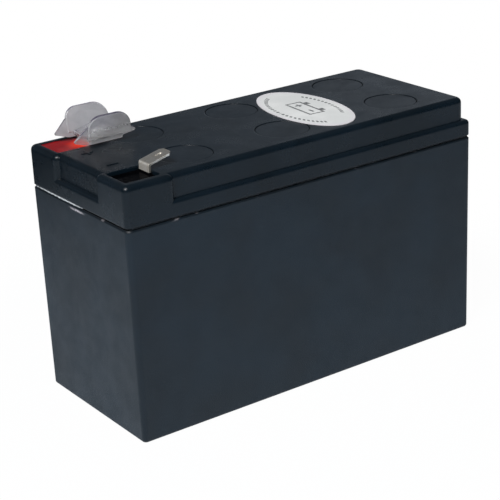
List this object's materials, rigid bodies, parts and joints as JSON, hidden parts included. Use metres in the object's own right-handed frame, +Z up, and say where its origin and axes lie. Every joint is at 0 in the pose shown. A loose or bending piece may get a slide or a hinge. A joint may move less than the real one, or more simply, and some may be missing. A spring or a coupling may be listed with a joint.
{
  "type": "ups battery cartridge",
  "caption": "Black sealed lead-acid battery block with two upright blade terminals in corner wells, a clear guard on the positive one, round vent covers and an oval label.",
  "frame": {"origin": "middle of the foot, on the surface that the battery stands on", "axes": "+Z up; X along the length, with both terminals at the -X end; +Y from the negative terminal's side to the positive terminal's side"},
  "size_m": [0.151, 0.065, 0.1046],
  "materials": {
    "black_abs": "semi-gloss moulded",
    "cover_abs": "satin moulded",
    "adhesive": "glossy",
    "tinned_brass": "tin plated, bright",
    "black_resin": "glossy",
    "red_resin": "glossy",
    "lead": "cast",
    "clear_plastic": "clear",
    "label_film": "satin",
    "valve_rubber": "matte",
    "positive_plate": "porous paste",
    "negative_plate": "porous paste",
    "glass_mat": "fibrous"
  },
  "bodies": {
    "root": {"container": "black_abs", "lid": "black_abs", "seam_bead": "adhesive", "negative_tab": "tinned_brass", "positive_tab": "tinned_brass", "negative_well_resin": "black_resin", "positive_well_resin": "red_resin", "negative_end_strap": "lead", "positive_end_strap": "lead", "terminal_guard": "clear_plastic", "top_label": "label_film", "vent_cover_1": "cover_abs", "valve_cap_1": "valve_rubber", "positive_plates_1": "positive_plate", "negative_plates_1": "negative_plate", "separators_1": "glass_mat", "vent_cover_2": "cover_abs", "valve_cap_2": "valve_rubber", "positive_plates_2": "positive_plate", "negative_plates_2": "negative_plate", "separators_2": "glass_mat", "vent_cover_3": "cover_abs", "valve_cap_3": "valve_rubber", "positive_plates_3": "positive_plate", "negative_plates_3": "negative_plate", "separators_3": "glass_mat", "vent_cover_4": "cover_abs", "valve_cap_4": "valve_rubber", "positive_plates_4": "positive_plate", "negative_plates_4": "negative_plate", "separators_4": "glass_mat", "vent_cover_5": "cover_abs", "valve_cap_5": "valve_rubber", "positive_plates_5": "positive_plate", "negative_plates_5": "negative_plate", "separators_5": "glass_mat", "vent_cover_6": "cover_abs", "valve_cap_6": "valve_rubber", "positive_plates_6": "positive_plate", "negative_plates_6": "negative_plate", "separators_6": "glass_mat", "cell_link_1": "lead", "cell_link_2": "lead", "cell_link_3": "lead", "cell_link_4": "lead", "cell_link_5": "lead"}
  },
  "joints": []
}
